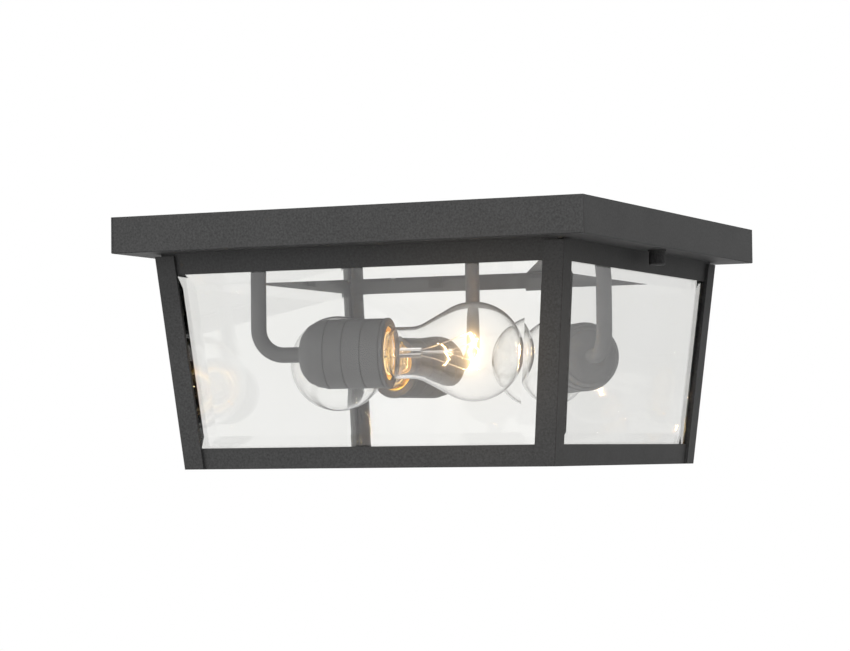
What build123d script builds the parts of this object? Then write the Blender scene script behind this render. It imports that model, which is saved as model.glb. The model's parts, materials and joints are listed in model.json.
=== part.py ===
"""Outdoor flush mount light: a canopy pan, a tapered glazed cage and three lamps in a pinwheel."""
import os
from math import cos, hypot, radians, sin, tan

from build123d import *

# Driving sizes, in millimetres and degrees

# Canopy pan of folded sheet, open towards the ceiling
canopy_side = 304.8
canopy_height = 22.0
canopy_sheet = 1.2
canopy_lip = 5.0
canopy_bend = 0.7
seam_width = 0.4
seam_depth = 0.3

# Tapered cage
overall_height = 152.4
canopy_overhang = 19.05
cage_taper = 12.7
post_gap = 1.5
post_leg = 13.0
post_sheet = 2.0
post_edge = 0.5
rail_height = 12.7
rail_sheet = 1.2
corner_gap = 0.5

# Bevelled panes and what holds them
pane_thickness = 4.0
pane_edge = 2.0
pane_bevel = 15.0
pane_cover_top = 8.5
pane_cover_bottom = 7.4
pane_gap = 0.1
pane_corner_gap = 1.4
clip_sheet = 1.2
clip_gap = 0.2
clip_width = 10.0
clip_reach = 6.0
clip_place = 62.0
flange_margin = 2.6

# Screws between canopy and cage
cage_screw_radius = 1.5
cage_screw_head = 2.8
cage_screw_head_height = 1.9
cage_screw_end = 1.6
cage_screw_place = 95.0
screw_cross_span = 3.2
screw_cross_width = 0.8
screw_cross_depth = 1.1

# Arms
first_arm_angle = 225.0
lamp_turns = (34, 32, 37)
lamp_drops = (61.0, 64.5, 63.5)
leg_setbacks = (3.0, 0.0, 0.0)
globe_clearance = 2.0
arm_radius = 4.75
arm_bore = 3.3
arm_bend = 16.0
arm_run = 9.0
arm_pane_clearance = 1.5
nipple_radius = 4.35
nipple_rise = 7.5
nipple_reach = 8.5
arm_nut_flats = 14.0
arm_nut_height = 4.5
thread_gap = 0.15

# Sockets
cup_radius = 21.2
cup_rim_radius = 21.5
cup_rim_width = 2.6
cup_hole = 16.5
cup_back = 11.0
cup_groove_width = 1.2
cup_groove_depth = 0.8
cup_band_count = 3
dome_face = 9.5
dome_step = 0.9
dome_tiers = ((4.5, 0.76, 1.0), (9.5, 0.89, 0.5), (15.5, 0.97, 0.25))
mouth_cover = 1.0
mouth_chamfer = 0.5
socket_gap = 0.2
insulator_length = 13.0
insulator_well = 2.6
insulator_well_depth = 7.0
shell_wall = 0.6
shell_lip_setback = 1.2
shell_flare = 5.0
shell_eye = 7.0
contact_radius = 4.5
contact_plate = 0.8
contact_tip_radius = 2.6
contact_rise = 2.6
contact_gap = 0.4

# Bulbs
bulb_length = 110.0
globe_radius = 30.1
globe_cone = 28.4
neck_radius = 15.7
neck_sweep = 20.0
neck_sweep_share = 0.6
neck_shoulder = 3.4
glass_wall = 0.8
cap_length = 27.0
cap_thread_radius = 13.15
cap_thread_depth = 0.65
cap_wall = 0.6
cap_thread_pitch = 3.629
cap_thread_turns = 4
cap_rim_flare = 0.3
cap_rim_width = 1.0
base_height = 4.5
base_contact_height = 1.0
base_contact_radius = 4.6
screw_clearance = 0.4
seal_gap = 0.15
neck_tail = 10.0
stem_radius = 3.0
stem_press_back = 32.0
stem_rod_radius = 1.0
stem_rod_length = 16.0
stem_button_radius = 2.0
stem_button_length = 3.0
flare_length = 9.0
filament_radius = 0.4
filament_spread = 12.0
filament_dip = 3.0
filament_lead_offset = 2.0
filament_tilt = 15.0
filament_bend = 1.5

# Mounting crossbar, studs and cap nuts
crossbar_width = 26.0
crossbar_sheet = 2.0
crossbar_end_gap = 0.5
slot_spacing = 79.4
slot_length = 24.0
slot_width = 4.8
stud_radius = 2.05
stud_inset = 11.4
stud_hole_gap = 0.55
stud_nut_flats = 8.0
stud_nut_height = 3.0
washer_radius = 5.5
washer_sheet = 1.0
cap_nut_radius = 5.0
cap_nut_height = 8.3
cap_nut_roof = 1.0
cap_nut_gap = 0.3
cap_nut_dome = 1.2
knurl_count = 24
knurl_depth = 0.35
stud_end_gap = 0.6
ground_screw_place = 75.0
ground_screw_radius = 1.75
ground_screw_head = 4.0
ground_screw_head_height = 2.4
ground_screw_slot_width = 1.2
ground_screw_slot_depth = 1.0

# Leads and their connectors
lead_radius = 0.95
lead_offset = 1.15
lead_elbow = 4.0
lead_sweep = 14.0
lead_level_top = -4.2
lead_level_step = 2.8
bundle_radius = 1.35
hub_reach = 58.0
hub_split = 31.0
hub_angle = 45.0
hub_approach = 18.0
connector_length = 22.0
connector_radius = 5.6
connector_tip_radius = 3.2
connector_bore = 2.9
connector_depth = 12.0
lead_insert = 9.0

# Heights and slopes that follow
underside_z = -canopy_height
floor_z = underside_z + canopy_sheet
post_top_z = underside_z - post_gap
bottom_z = -overall_height
cage_top_side = canopy_side - 2 * canopy_overhang
lean = cage_taper / (post_top_z - bottom_z)
lean_gain = hypot(1, lean)
lamp_levels = [underside_z - drop for drop in lamp_drops]
top_rail_z = underside_z - rail_height
bottom_rail_z = bottom_z + rail_height
pane_high_z = top_rail_z + pane_cover_top
pane_low_z = bottom_rail_z - pane_cover_bottom
rail_back = post_sheet + rail_sheet
pane_front = rail_back + pane_gap
pane_back = pane_front + pane_thickness
clip_front = pane_back + clip_gap
clip_back = clip_front + clip_sheet
rail_flange = pane_thickness + clip_gap + clip_sheet + flange_margin
side_turns = {"front": 0, "right": 90, "back": 180, "left": 270}
corner_turns = {"front_right": 0, "back_right": 90, "back_left": 180, "front_left": 270}


def half_at(z):
    """Half the side of the cage's outer faces at a height."""
    return cage_top_side / 2 - lean * (post_top_z - z)


def behind(z, depth):
    """How far out from the middle a layer lies that is so deep behind the cage's outer face."""
    return half_at(z) - depth * lean_gain


def side_section(turn):
    """Section plane across one side of the cage: local x points outwards, local y points up."""
    outwards = Vector(0, -1, 0).rotate(Axis.Z, turn)
    return Plane(origin=(0, 0, 0), x_dir=outwards, z_dir=Vector(-1, 0, 0).rotate(Axis.Z, turn))


# Stations along a lamp's axis, counted from its place on the arms' circle
cup_rear = arm_bend + arm_run
cup_floor = cup_rear + cup_back
insulator_front = cup_floor + insulator_length
base_tip = insulator_front + contact_rise + contact_gap
cap_start = base_tip + base_contact_height + base_height
cap_rim = base_tip + cap_length
cup_mouth = cap_rim + mouth_cover
shell_lip = cup_mouth - shell_lip_setback
bulb_tip = base_tip + bulb_length
globe_station = bulb_tip - globe_radius
stem_press = globe_station - stem_press_back
neck_end = cap_rim - neck_tail
shell_bore = cap_thread_radius + screw_clearance
shell_mouth = cup_hole - socket_gap - shell_wall
neck_tail_radius = cap_thread_radius - cap_thread_depth - cap_wall - seal_gap

# Places of the lamps: on a circle where an arm just clears the panes; a leg may stand back from there
arm_angles = [first_arm_angle - 120 * number for number in range(3)]
wall_share = max(max(abs(cos(radians(a))), abs(sin(radians(a)))) for a in arm_angles)
arm_wall = behind(min(lamp_levels) + arm_bend, pane_back) - arm_pane_clearance - arm_radius
arm_circle = arm_wall / wall_share
arm_places = [(arm_circle * cos(radians(a)), arm_circle * sin(radians(a))) for a in arm_angles]


def lamp_heading(number):
    """Direction of one lamp: turned off the middle, by less where its globe would come near a pane."""
    room = behind(lamp_levels[number], pane_back) - globe_clearance - globe_radius
    x, y = arm_places[number]
    for turn in range(lamp_turns[number], 0, -1):
        heading = arm_angles[number] + 180 - turn
        globe_x = x + globe_station * cos(radians(heading))
        globe_y = y + globe_station * sin(radians(heading))
        if max(abs(globe_x), abs(globe_y)) < room:
            break
    return heading


lamp_headings = [lamp_heading(number) for number in range(3)]
leg_places = [
    (x - setback * cos(radians(heading)), y - setback * sin(radians(heading)))
    for (x, y), setback, heading in zip(arm_places, leg_setbacks, lamp_headings)
]


def lamp_plane(number):
    """Plane of one lamp: local x runs along its axis from the arm, local y points up."""
    heading = radians(lamp_headings[number])
    x, y = arm_places[number]
    along = (cos(heading), sin(heading), 0)
    return Plane(origin=(x, y, lamp_levels[number]), x_dir=along, z_dir=(sin(heading), -cos(heading), 0))


def lamp_axis(number):
    """Axis of one lamp, out of its socket."""
    plane = lamp_plane(number)
    return Axis(plane.origin, plane.x_dir)


def keep(piece, name):
    """Label a finished piece and write it to its own file."""
    piece.part.label = name
    export_step(piece.part, f"parts/{name}.step")


os.makedirs("parts", exist_ok=True)

# Places of screws on the canopy floor, shared by its holes, the rails and the screws
flange_outer = behind(underside_z, rail_back)
screw_out = flange_outer - rail_flange / 2 + clip_sheet
cage_screw_places = [
    Vector(side * cage_screw_place, -screw_out).rotate(Axis.Z, turn)
    for turn in side_turns.values()
    for side in (-1, 1)
]
stud_places = [(side * (canopy_side / 2 - stud_inset), 0) for side in (-1, 1)]
nipple_hole = nipple_radius + thread_gap
screw_hole = cage_screw_radius + thread_gap
stud_hole = stud_radius + stud_hole_gap

# Canopy pan
with BuildPart() as canopy_pan:
    with BuildSketch(Plane.XY.offset(underside_z)):
        Rectangle(canopy_side, canopy_side)
    extrude(amount=canopy_height)
    fillet(canopy_pan.faces().sort_by(Axis.Z)[0].edges(), canopy_bend)
    with BuildSketch(Plane.XY.offset(floor_z)):
        Rectangle(canopy_side - 2 * canopy_sheet, canopy_side - 2 * canopy_sheet)
    extrude(amount=canopy_height - 2 * canopy_sheet, mode=Mode.SUBTRACT)
    with BuildSketch(Plane.XY):
        Rectangle(canopy_side - 2 * canopy_lip, canopy_side - 2 * canopy_lip)
    extrude(amount=-canopy_sheet, mode=Mode.SUBTRACT)
    with BuildSketch(Plane.XY.offset(underside_z)):
        with Locations(*leg_places):
            Circle(nipple_hole)
        with Locations(*cage_screw_places):
            Circle(screw_hole)
        with Locations(*stud_places):
            Circle(stud_hole)
    extrude(amount=canopy_sheet, mode=Mode.SUBTRACT)
    with BuildSketch(Plane.XY):
        with PolarLocations(0, 4):
            with Locations((canopy_side / 2, canopy_sheet - canopy_side / 2)):
                Rectangle(2 * seam_depth, seam_width)
    extrude(amount=-canopy_height, mode=Mode.SUBTRACT)
keep(canopy_pan, "canopy_pan")

# Corner posts of angle section, leaning in along the cage's corner lines
post_fall = post_top_z - bottom_z
for corner, turn in corner_turns.items():
    post_start = half_at(post_top_z)
    post_wall = post_sheet * lean_gain
    with BuildPart() as corner_post:
        corner_plane = Plane(origin=(0, 0, post_top_z), x_dir=Vector(1, 0, 0).rotate(Axis.Z, turn))
        with BuildSketch(corner_plane) as post_section:
            with BuildLine():
                Polyline(
                    (post_start, -post_start),
                    (post_start, post_leg - post_start),
                    (post_start - post_wall, post_leg - post_start),
                    (post_start - post_wall, post_wall - post_start),
                    (post_start - post_leg, post_wall - post_start),
                    (post_start - post_leg, -post_start),
                    close=True,
                )
            make_face()
            outer_corner = post_section.vertices().sort_by(Axis.X)[-2:].sort_by(Axis.Y)[0]
            fillet(outer_corner, post_edge)
        corner_line = Vector(-lean, lean, -1).rotate(Axis.Z, turn)
        extrude(amount=post_fall * corner_line.length, dir=corner_line)
    keep(corner_post, f"{corner}_post")


def make_rail(section, flange_z, lip_z):
    """Build one rail: a leaning web with a flange turned in level at its outer end."""
    inwards = 1 if lip_z > flange_z else -1
    web_half = min(behind(flange_z, rail_back), behind(lip_z, rail_back)) - corner_gap
    flange_in = behind(flange_z, rail_back) - rail_flange
    flange_root = behind(flange_z, post_sheet + rail_sheet / 2)
    with BuildPart() as rail:
        with BuildSketch(section):
            with BuildLine():
                Polyline(
                    (behind(flange_z, post_sheet), flange_z),
                    (behind(lip_z, post_sheet), lip_z),
                    (behind(lip_z, rail_back), lip_z),
                    (behind(flange_z, rail_back), flange_z),
                    close=True,
                )
            make_face()
        extrude(amount=web_half, both=True)
        with BuildSketch(section):
            with BuildLine():
                Polyline(
                    (flange_in, flange_z),
                    (flange_root, flange_z),
                    (flange_root, flange_z + inwards * rail_sheet),
                    (flange_in, flange_z + inwards * rail_sheet),
                    close=True,
                )
            make_face()
        extrude(amount=flange_in - corner_gap, both=True)
    return rail


# Rails and panes of the four sides
for side, turn in side_turns.items():
    section = side_section(turn)

    with BuildPart() as top_rail:
        add(make_rail(section, underside_z, top_rail_z).part)
        tab_top_z = underside_z - rail_sheet / 2
        tab_low_z = pane_high_z - clip_reach
        for place in (-clip_place, clip_place):
            with BuildSketch(section.offset(place - clip_width / 2)):
                with BuildLine():
                    Polyline(
                        (behind(tab_top_z, clip_front), tab_top_z),
                        (behind(tab_low_z, clip_front), tab_low_z),
                        (behind(tab_low_z, clip_back), tab_low_z),
                        (behind(tab_top_z, clip_back), tab_top_z),
                        close=True,
                    )
                make_face()
            extrude(amount=clip_width)
        with BuildSketch(Plane.XY.offset(underside_z)):
            with Locations(*cage_screw_places):
                Circle(screw_hole)
        extrude(amount=-rail_sheet, mode=Mode.SUBTRACT)
    keep(top_rail, f"{side}_top_rail")

    keep(make_rail(section, bottom_z, bottom_rail_z), f"{side}_bottom_rail")

    outwards = section.x_dir
    pane_mid_z = (pane_high_z + pane_low_z) / 2
    pane_margin = pane_back * lean_gain + pane_corner_gap
    pane_plane = Plane(
        origin=outwards * behind(pane_mid_z, pane_back) + Vector(0, 0, pane_mid_z),
        x_dir=Vector(0, 0, 1).cross(outwards),
        z_dir=outwards - Vector(0, 0, lean),
    )
    pane_rise = (pane_high_z - pane_mid_z) * lean_gain
    pane_outline = (
        (pane_margin - half_at(pane_low_z), -pane_rise),
        (half_at(pane_low_z) - pane_margin, -pane_rise),
        (half_at(pane_high_z) - pane_margin, pane_rise),
        (pane_margin - half_at(pane_high_z), pane_rise),
    )
    with BuildPart() as pane:
        with BuildSketch(pane_plane):
            Polygon(*pane_outline, align=None)
        extrude(amount=pane_edge)
        with BuildSketch(pane_plane.offset(pane_edge)):
            Polygon(*pane_outline, align=None)
        with BuildSketch(pane_plane.offset(pane_thickness)):
            Polygon(*pane_outline, align=None)
            offset(amount=-pane_bevel, kind=Kind.INTERSECTION, mode=Mode.REPLACE)
        loft(ruled=True)
    keep(pane, f"{side}_pane")

# Clips that stand on the bottom flanges, behind the panes
clip_foot_z = bottom_z + rail_sheet
clip_bend_z = clip_foot_z + clip_sheet
clip_top_z = pane_low_z + clip_reach
clip_heel = behind(bottom_z, rail_back) - rail_flange + corner_gap
with BuildPart() as glass_clips:
    for turn in side_turns.values():
        for place in (-clip_place, clip_place):
            with BuildSketch(side_section(turn).offset(place - clip_width / 2)):
                with BuildLine():
                    Polyline(
                        (behind(clip_foot_z, clip_front), clip_foot_z),
                        (behind(clip_top_z, clip_front), clip_top_z),
                        (behind(clip_top_z, clip_back), clip_top_z),
                        (behind(clip_bend_z, clip_back), clip_bend_z),
                        (clip_heel, clip_bend_z),
                        (clip_heel, clip_foot_z),
                        close=True,
                    )
                make_face()
            extrude(amount=clip_width)
keep(glass_clips, "glass_clips")

# Screws down through the canopy into the top flanges
with BuildPart() as cage_screws:
    with BuildSketch(Plane.XY.offset(floor_z)):
        with Locations(*cage_screw_places):
            Circle(cage_screw_head)
    extrude(amount=cage_screw_head_height)
    fillet(cage_screws.faces().group_by(Axis.Z)[-1].edges(), cage_screw_head_height / 2)
    with BuildSketch(Plane.XY.offset(floor_z)):
        with Locations(*cage_screw_places):
            Circle(cage_screw_radius)
    extrude(amount=-(canopy_sheet + rail_sheet + cage_screw_end))
    with BuildSketch(Plane.XY.offset(floor_z + cage_screw_head_height)):
        with Locations(*cage_screw_places):
            Rectangle(screw_cross_span, screw_cross_width)
            Rectangle(screw_cross_width, screw_cross_span)
    extrude(amount=-screw_cross_depth, mode=Mode.SUBTRACT)
keep(cage_screws, "cage_screws")

# Lock nuts of the arms, on the canopy floor
with BuildPart() as arm_lock_nuts:
    with BuildSketch(Plane.XY.offset(floor_z)):
        with Locations(*leg_places):
            RegularPolygon(arm_nut_flats / 2, 6, major_radius=False)
            Circle(nipple_hole, mode=Mode.SUBTRACT)
    extrude(amount=arm_nut_height)
keep(arm_lock_nuts, "arm_lock_nuts")


def wave(start, end, outer, depth, turns):
    """Rolled screw thread seen in section: tangent arcs about a mean line, crests outwards."""
    rows = 2 * turns
    mean = outer - depth / 2
    stations = [start + (end - start) * row / rows for row in range(rows + 1)]
    for row in range(rows):
        swell = depth / 2 if row % 2 == 0 else -depth / 2
        middle = (stations[row] + stations[row + 1]) / 2
        ThreePointArc((stations[row], mean), (middle, mean + swell), (stations[row + 1], mean))


# Thread stations shared by a bulb's cap and its socket's screw shell
thread_start = cap_start + cap_thread_pitch / 2
thread_end = thread_start + cap_thread_turns * cap_thread_pitch
shell_flare_start = cap_rim - cap_rim_width - shell_flare
shell_crest = shell_bore + cap_thread_depth
shell_mean = shell_bore + cap_thread_depth / 2

# Arms, sockets and bulbs of the three lamps
for number in range(3):
    plane = lamp_plane(number)
    axis = lamp_axis(number)
    x, y = leg_places[number]
    arm_foot = plane.origin + plane.x_dir * cup_rear

    with BuildPart() as arm:
        with BuildLine():
            FilletPolyline((x, y, underside_z), (x, y, lamp_levels[number]), arm_foot, radius=arm_bend)
        with BuildSketch(Plane(origin=(x, y, underside_z), z_dir=(0, 0, -1))):
            Circle(arm_radius)
            Circle(arm_bore, mode=Mode.SUBTRACT)
        sweep()
        with BuildSketch(Plane(origin=(x, y, underside_z))):
            Circle(nipple_radius)
            Circle(arm_bore, mode=Mode.SUBTRACT)
        extrude(amount=nipple_rise)
        with BuildSketch(Plane(origin=arm_foot, z_dir=plane.x_dir)):
            Circle(nipple_radius)
            Circle(arm_bore, mode=Mode.SUBTRACT)
        extrude(amount=nipple_reach)
    keep(arm, f"arm_tube_{number + 1}")

    groove_start = cup_rear + dome_tiers[-1][0] + cup_groove_width * 2
    groove_end = cup_mouth - cup_rim_width
    groove_stations = [
        groove_start + (groove_end - groove_start) * band / cup_band_count
        for band in range(cup_band_count + 1)
    ]
    with BuildPart() as socket_cup:
        with BuildSketch(plane):
            with BuildLine():
                Line((cup_rear, nipple_hole), (cup_rear, dome_face))
                tier_start = (cup_rear, dome_face)
                for advance, share, bulge in dome_tiers:
                    tier_end = (cup_rear + advance, cup_radius * share)
                    SagittaArc(tier_start, tier_end, bulge)
                    tier_start = (tier_end[0], min(tier_end[1] + dome_step, cup_radius))
                    Line(tier_end, tier_start)
                outline = [tier_start]
                for station in groove_stations:
                    after = cup_rim_radius if station == groove_stations[-1] else cup_radius
                    outline.append((station - cup_groove_width / 2, cup_radius))
                    outline.append((station, cup_radius - cup_groove_depth))
                    outline.append((station + cup_groove_width / 2, after))
                outline.append((cup_mouth - mouth_chamfer, cup_rim_radius))
                outline.append((cup_mouth, cup_rim_radius - mouth_chamfer))
                outline.append((cup_mouth, cup_hole + mouth_chamfer))
                outline.append((cup_mouth - mouth_chamfer, cup_hole))
                outline.append((cup_floor, cup_hole))
                outline.append((cup_floor, nipple_hole))
                outline.append((cup_rear, nipple_hole))
                Polyline(*outline)
            make_face()
        revolve(axis=axis)
    keep(socket_cup, f"socket_cup_{number + 1}")

    with BuildPart() as insulator:
        with BuildSketch(plane):
            with BuildLine():
                Polyline(
                    (cup_floor, insulator_well),
                    (cup_floor, cup_hole - socket_gap),
                    (insulator_front, cup_hole - socket_gap),
                    (insulator_front, 0),
                    (cup_floor + insulator_well_depth, 0),
                    (cup_floor + insulator_well_depth, insulator_well),
                    close=True,
                )
            make_face()
        revolve(axis=axis)
    keep(insulator, f"socket_insulator_{number + 1}")

    with BuildPart() as screw_shell:
        with BuildSketch(plane):
            with BuildLine():
                wave(thread_start, thread_end, shell_crest, cap_thread_depth, cap_thread_turns)
                Polyline(
                    (thread_end, shell_mean),
                    (shell_flare_start, shell_mean),
                    (shell_flare_start + shell_flare, shell_mouth),
                    (shell_lip, shell_mouth),
                    (shell_lip, shell_mouth + shell_wall),
                    (shell_flare_start + shell_flare, shell_mouth + shell_wall),
                    (shell_flare_start, shell_mean + shell_wall),
                    (insulator_front, shell_mean + shell_wall),
                    (insulator_front, shell_eye),
                    (insulator_front + shell_wall, shell_eye),
                    (insulator_front + shell_wall, shell_mean),
                    (thread_start, shell_mean),
                )
            make_face()
        revolve(axis=axis)
    keep(screw_shell, f"screw_shell_{number + 1}")

    with BuildPart() as bulb_base:
        with BuildSketch(plane):
            with BuildLine():
                base_top = cap_thread_radius - cap_thread_depth - cap_wall
                Polyline(
                    (base_tip, 0),
                    (base_tip, base_contact_radius - base_contact_height),
                    (base_tip + base_contact_height, base_contact_radius),
                    (cap_start, base_top),
                    (cap_start, 0),
                    close=True,
                )
            make_face()
        revolve(axis=axis)
    keep(bulb_base, f"bulb_base_{number + 1}")

    with BuildPart() as bulb_cap:
        with BuildSketch(plane):
            with BuildLine():
                cap_mean = cap_thread_radius - cap_thread_depth / 2
                cap_inner = cap_thread_radius - cap_thread_depth - cap_wall
                wave(thread_start, thread_end, cap_thread_radius, cap_thread_depth, cap_thread_turns)
                Polyline(
                    (thread_end, cap_mean),
                    (cap_rim - cap_rim_width, cap_mean),
                    (cap_rim, cap_mean + cap_rim_flare),
                    (cap_rim, cap_inner + cap_rim_flare),
                    (cap_rim - cap_rim_width, cap_inner),
                    (cap_start, cap_inner),
                    (cap_start, cap_mean),
                    (thread_start, cap_mean),
                )
            make_face()
        revolve(axis=axis)
    keep(bulb_cap, f"bulb_cap_{number + 1}")

    with BuildPart() as bulb_glass:
        for inset, tail, mode in ((0, neck_end, Mode.ADD), (glass_wall, cap_start, Mode.SUBTRACT)):
            radius = globe_radius - inset
            neck = neck_radius - inset
            slope = radians(globe_cone)
            cone_top = (globe_station - radius * sin(slope), radius * cos(slope))
            cone_foot = (cone_top[0] - (cone_top[1] - neck) / tan(slope), neck)
            shoulder = cap_rim + seal_gap + inset
            neck_run = cone_foot[0] - shoulder - neck_shoulder
            widest_sweep = neck_sweep_share * neck_run / tan(slope / 2)
            with BuildSketch(plane):
                with BuildLine():
                    FilletPolyline(
                        (tail, neck_tail_radius - inset),
                        (shoulder, neck_tail_radius - inset),
                        (shoulder + neck_shoulder, neck),
                        cone_foot,
                        cone_top,
                        radius=[seal_gap, neck_shoulder - inset, min(neck_sweep + inset, widest_sweep)],
                    )
                    ThreePointArc(
                        cone_top,
                        (globe_station + radius * sin(slope), radius * cos(slope)),
                        (globe_station + radius, 0),
                    )
                    Polyline((globe_station + radius, 0), (tail, 0), (tail, neck_tail_radius - inset))
                make_face()
            revolve(axis=axis, mode=mode)
    keep(bulb_glass, f"bulb_glass_{number + 1}")

    with BuildPart() as bulb_stem:
        with BuildSketch(plane):
            with BuildLine():
                flare_radius = neck_tail_radius - glass_wall - seal_gap
                rod_end = stem_press + stem_rod_length
                Polyline(
                    (neck_end, 0),
                    (neck_end, flare_radius),
                    (neck_end + glass_wall, flare_radius),
                )
                neck_of_flare = (neck_end + flare_length, stem_radius)
                SagittaArc((neck_end + glass_wall, flare_radius), neck_of_flare, -glass_wall)
                Polyline(
                    neck_of_flare,
                    (stem_press, stem_radius),
                    (stem_press, stem_rod_radius),
                    (rod_end, stem_rod_radius),
                    (rod_end, stem_button_radius),
                    (rod_end + stem_button_length, stem_button_radius),
                    (rod_end + stem_button_length, 0),
                    (neck_end, 0),
                )
            make_face()
        revolve(axis=axis)
    keep(bulb_stem, f"bulb_stem_{number + 1}")

    tilt = radians(filament_tilt)
    filament_normal = plane.z_dir * cos(tilt) + plane.y_dir * sin(tilt)
    filament_plane = Plane(origin=plane.origin, x_dir=plane.x_dir, z_dir=filament_normal)
    lead_start = stem_press + seal_gap
    lead_waist = stem_press + stem_rod_length / 2
    filament_back = globe_station - filament_dip
    half_path = (
        (lead_start, filament_lead_offset),
        (lead_waist, filament_lead_offset + stem_button_radius),
        (filament_back, filament_spread),
        (globe_station, filament_spread / 2),
    )
    with BuildPart() as bulb_filament:
        with BuildLine(filament_plane):
            FilletPolyline(
                *half_path,
                (filament_back, 0),
                *((along, -across) for along, across in reversed(half_path)),
                radius=filament_bend,
            )
        start_point = filament_plane.from_local_coords((lead_start, filament_lead_offset, 0))
        first_way = Vector(lead_waist - lead_start, stem_button_radius, 0)
        start_way = filament_plane.from_local_coords(first_way) - filament_plane.origin
        with BuildSketch(Plane(origin=start_point, z_dir=start_way)):
            Circle(filament_radius)
        sweep()
    keep(bulb_filament, f"bulb_filament_{number + 1}")

# Centre contacts of the sockets
with BuildPart() as centre_contacts:
    for number in range(3):
        with BuildSketch(lamp_plane(number)):
            with BuildLine():
                Polyline(
                    (insulator_front, 0),
                    (insulator_front, contact_radius),
                    (insulator_front + contact_plate, contact_radius),
                    (insulator_front + contact_plate, contact_tip_radius),
                    (insulator_front + contact_rise, contact_tip_radius / 2),
                    (insulator_front + contact_rise, 0),
                    close=True,
                )
            make_face()
        revolve(axis=lamp_axis(number))
keep(centre_contacts, "centre_contacts")

# Mounting crossbar, flush with the ceiling between the canopy's lips
crossbar_length = canopy_side - 2 * canopy_lip - 2 * crossbar_end_gap
ground_screw_hole = ground_screw_radius + thread_gap
with BuildPart() as mounting_crossbar:
    with BuildSketch(Plane.XY):
        RectangleRounded(crossbar_length, crossbar_width, canopy_lip / 2)
        with Locations(*stud_places):
            Circle(stud_radius + thread_gap, mode=Mode.SUBTRACT)
        with Locations((-slot_spacing / 2, 0), (slot_spacing / 2, 0)):
            SlotOverall(slot_length, slot_width, mode=Mode.SUBTRACT)
        with Locations((ground_screw_place, 0)):
            Circle(ground_screw_hole, mode=Mode.SUBTRACT)
    extrude(amount=-crossbar_sheet)
keep(mounting_crossbar, "mounting_crossbar")

nut_seat_z = underside_z - washer_sheet
nut_bore = stud_radius + cap_nut_gap
nut_bore_end_z = nut_seat_z - cap_nut_height + cap_nut_roof
stud_end_z = nut_bore_end_z + stud_end_gap
with BuildPart() as crossbar_studs:
    with BuildSketch(Plane.XY):
        with Locations(*stud_places):
            Circle(stud_radius)
    extrude(amount=stud_end_z)
keep(crossbar_studs, "crossbar_studs")

with BuildPart() as stud_lock_nuts:
    with BuildSketch(Plane.XY.offset(-crossbar_sheet)):
        with Locations(*stud_places):
            RegularPolygon(stud_nut_flats / 2, 6, major_radius=False)
            Circle(stud_radius + thread_gap, mode=Mode.SUBTRACT)
    extrude(amount=-stud_nut_height)
keep(stud_lock_nuts, "stud_lock_nuts")

with BuildPart() as ground_screw:
    with BuildSketch(Plane.XY):
        with Locations((ground_screw_place, 0)):
            Circle(ground_screw_radius)
    extrude(amount=-crossbar_sheet)
    with BuildSketch(Plane.XY.offset(-crossbar_sheet)):
        with Locations((ground_screw_place, 0)):
            RegularPolygon(ground_screw_head, 6)
    extrude(amount=-ground_screw_head_height)
    with BuildSketch(Plane.XY.offset(-crossbar_sheet - ground_screw_head_height)):
        with Locations((ground_screw_place, 0)):
            Rectangle(2 * ground_screw_head, ground_screw_slot_width)
    extrude(amount=ground_screw_slot_depth, mode=Mode.SUBTRACT)
keep(ground_screw, "ground_screw")

# Knurled cap nuts and their sealing washers, under the canopy
for side, stud_place in zip(("left", "right"), stud_places):
    with BuildPart() as sealing_washer:
        with BuildSketch(Plane.XY.offset(underside_z)):
            with Locations(stud_place):
                Circle(washer_radius)
                Circle(nut_bore, mode=Mode.SUBTRACT)
        extrude(amount=-washer_sheet)
    keep(sealing_washer, f"sealing_washer_{side}")

    with BuildPart() as cap_nut:
        with BuildSketch(Plane.XY.offset(nut_seat_z)):
            with Locations(stud_place):
                Circle(cap_nut_radius)
        extrude(amount=-cap_nut_height)
        fillet(cap_nut.faces().sort_by(Axis.Z)[0].edges(), cap_nut_dome)
        with BuildSketch(Plane.XY.offset(nut_seat_z)):
            with Locations(stud_place):
                with PolarLocations(cap_nut_radius, knurl_count):
                    RegularPolygon(knurl_depth, 4)
        extrude(amount=cap_nut_dome - cap_nut_height, mode=Mode.SUBTRACT)
        with BuildSketch(Plane.XY.offset(nut_seat_z)):
            with Locations(stud_place):
                Circle(nut_bore)
        extrude(amount=nut_bore_end_z - nut_seat_z, mode=Mode.SUBTRACT)
    keep(cap_nut, f"cap_nut_{side}")

# Leads: each runs from its socket through the arm and over the canopy floor to a connector
hub_way = Vector(cos(radians(hub_angle)), sin(radians(hub_angle)), 0)
hub_side = Vector(-hub_way.Y, hub_way.X, 0)
hub_z = lead_level_top - lead_level_step
bundle_angles = (270, 150, 30)


def lead_points(number, pole, waypoints):
    """Corner points of one lead; pole is 1 for hot and -1 for neutral."""
    plane = lamp_plane(number)
    shift = plane.z_dir * (-pole * lead_offset)
    level = lead_level_top - lead_level_step * (2 - number)
    around = radians(bundle_angles[number])
    bundle = hub_side * (-bundle_radius * cos(around)) + Vector(0, 0, bundle_radius * sin(around))
    mouth = hub_way * hub_reach + hub_side * (pole * hub_split / 2) + Vector(0, 0, hub_z) + bundle
    corner = Vector(*leg_places[number], lamp_levels[number]) + shift
    well_floor = plane.origin + plane.x_dir * (cup_floor + insulator_well_depth - seal_gap)
    points = [well_floor + shift, corner]
    points.append(Vector(corner.X, corner.Y, level))
    points.extend(Vector(x, y, level) for x, y in waypoints)
    points.append(mouth - hub_way * hub_approach)
    points.append(mouth + hub_way * lead_insert)
    return points


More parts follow.
